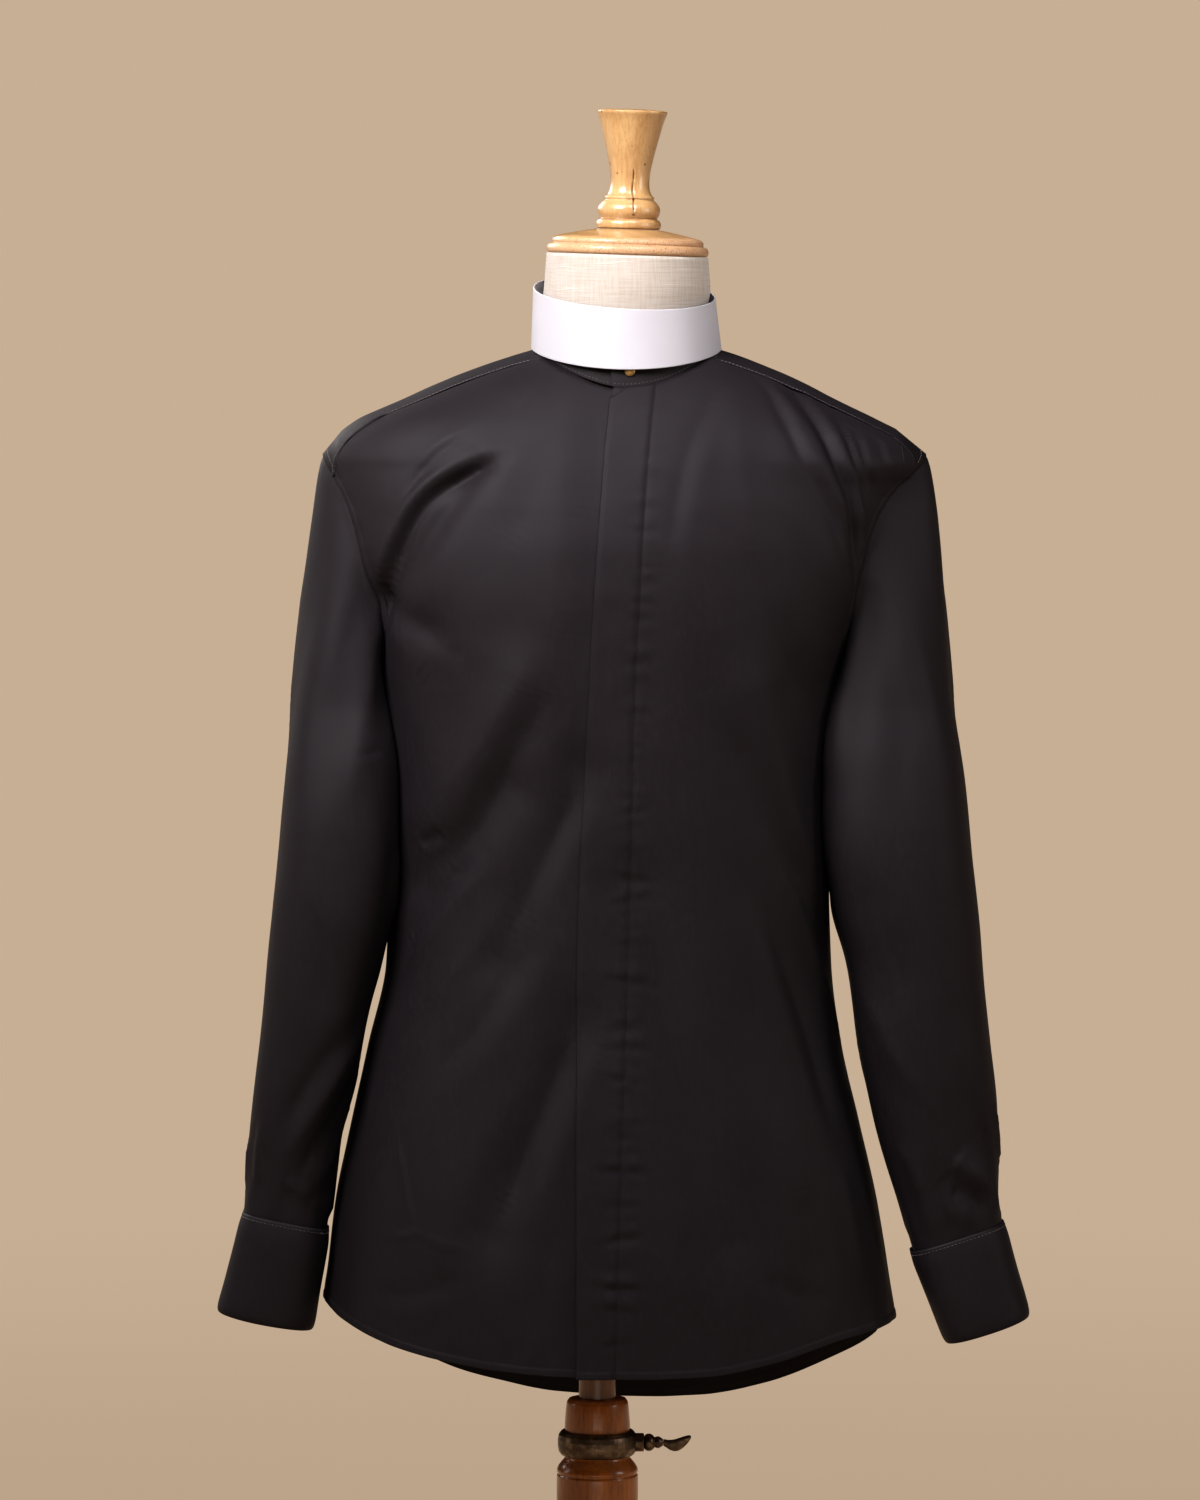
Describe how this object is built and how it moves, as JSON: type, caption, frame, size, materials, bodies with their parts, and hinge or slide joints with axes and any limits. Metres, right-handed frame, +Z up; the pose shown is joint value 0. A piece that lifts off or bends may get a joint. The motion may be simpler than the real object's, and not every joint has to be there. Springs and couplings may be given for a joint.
{
  "type": "clergy shirt on dress form",
  "caption": "Long-sleeved black clergy shirt with a tall white collar, hidden fly front and turned-back cuffs, worn on a limbless dress form with a turned wooden stand.",
  "frame": {"origin": "on the floor, at the axis of the stand, in the middle of the foot's flat underside", "axes": "+Z up, -Y the way the shirt faces, +X the wearer's left"},
  "size_m": [0.6128, 0.38, 1.5802],
  "materials": {
    "shirting": "black cotton poplin with a faint sheen",
    "collar_linen": "starched white cotton",
    "brass": "polished, a little dull",
    "form_linen": "plain undyed linen",
    "honey_wood": "old waxed hardwood",
    "dark_wood": "reddish brown varnish",
    "dark_bronze": "darkened bronze"
  },
  "bodies": {
    "stand": {"foot": "dark_wood", "column": "dark_wood", "clamp_ring": "dark_bronze"},
    "pole": {"pole": "dark_wood"},
    "form": {"form_body": "form_linen", "neck_cap": "honey_wood", "finial": "honey_wood", "front_right": "shirting", "front_left": "shirting", "placket": "shirting", "back": "shirting", "yoke": "shirting", "sleeve_right": "shirting", "sleeve_left": "shirting", "cuff_right": "shirting", "cuff_left": "shirting", "neckband": "shirting", "collar": "collar_linen", "collar_stud_front": "brass", "collar_stud_back": "brass"},
    "screw": {"clamp_screw": "dark_bronze"}
  },
  "joints": [
    {"name": "pole_height", "type": "slide", "parent": "stand", "child": "pole", "axis": [0, 0, 1], "range_m": [-0.06, 0.25]},
    {"name": "form_turn", "type": "hinge", "parent": "pole", "child": "form", "pos_m": [0, 0, 0.76], "axis": [0, 0, 1], "continuous": true},
    {"name": "screw_turn", "type": "hinge", "parent": "stand", "child": "screw", "pos_m": [0.03, 0, 0.575], "axis": [1, 0, 0], "continuous": true}
  ]
}
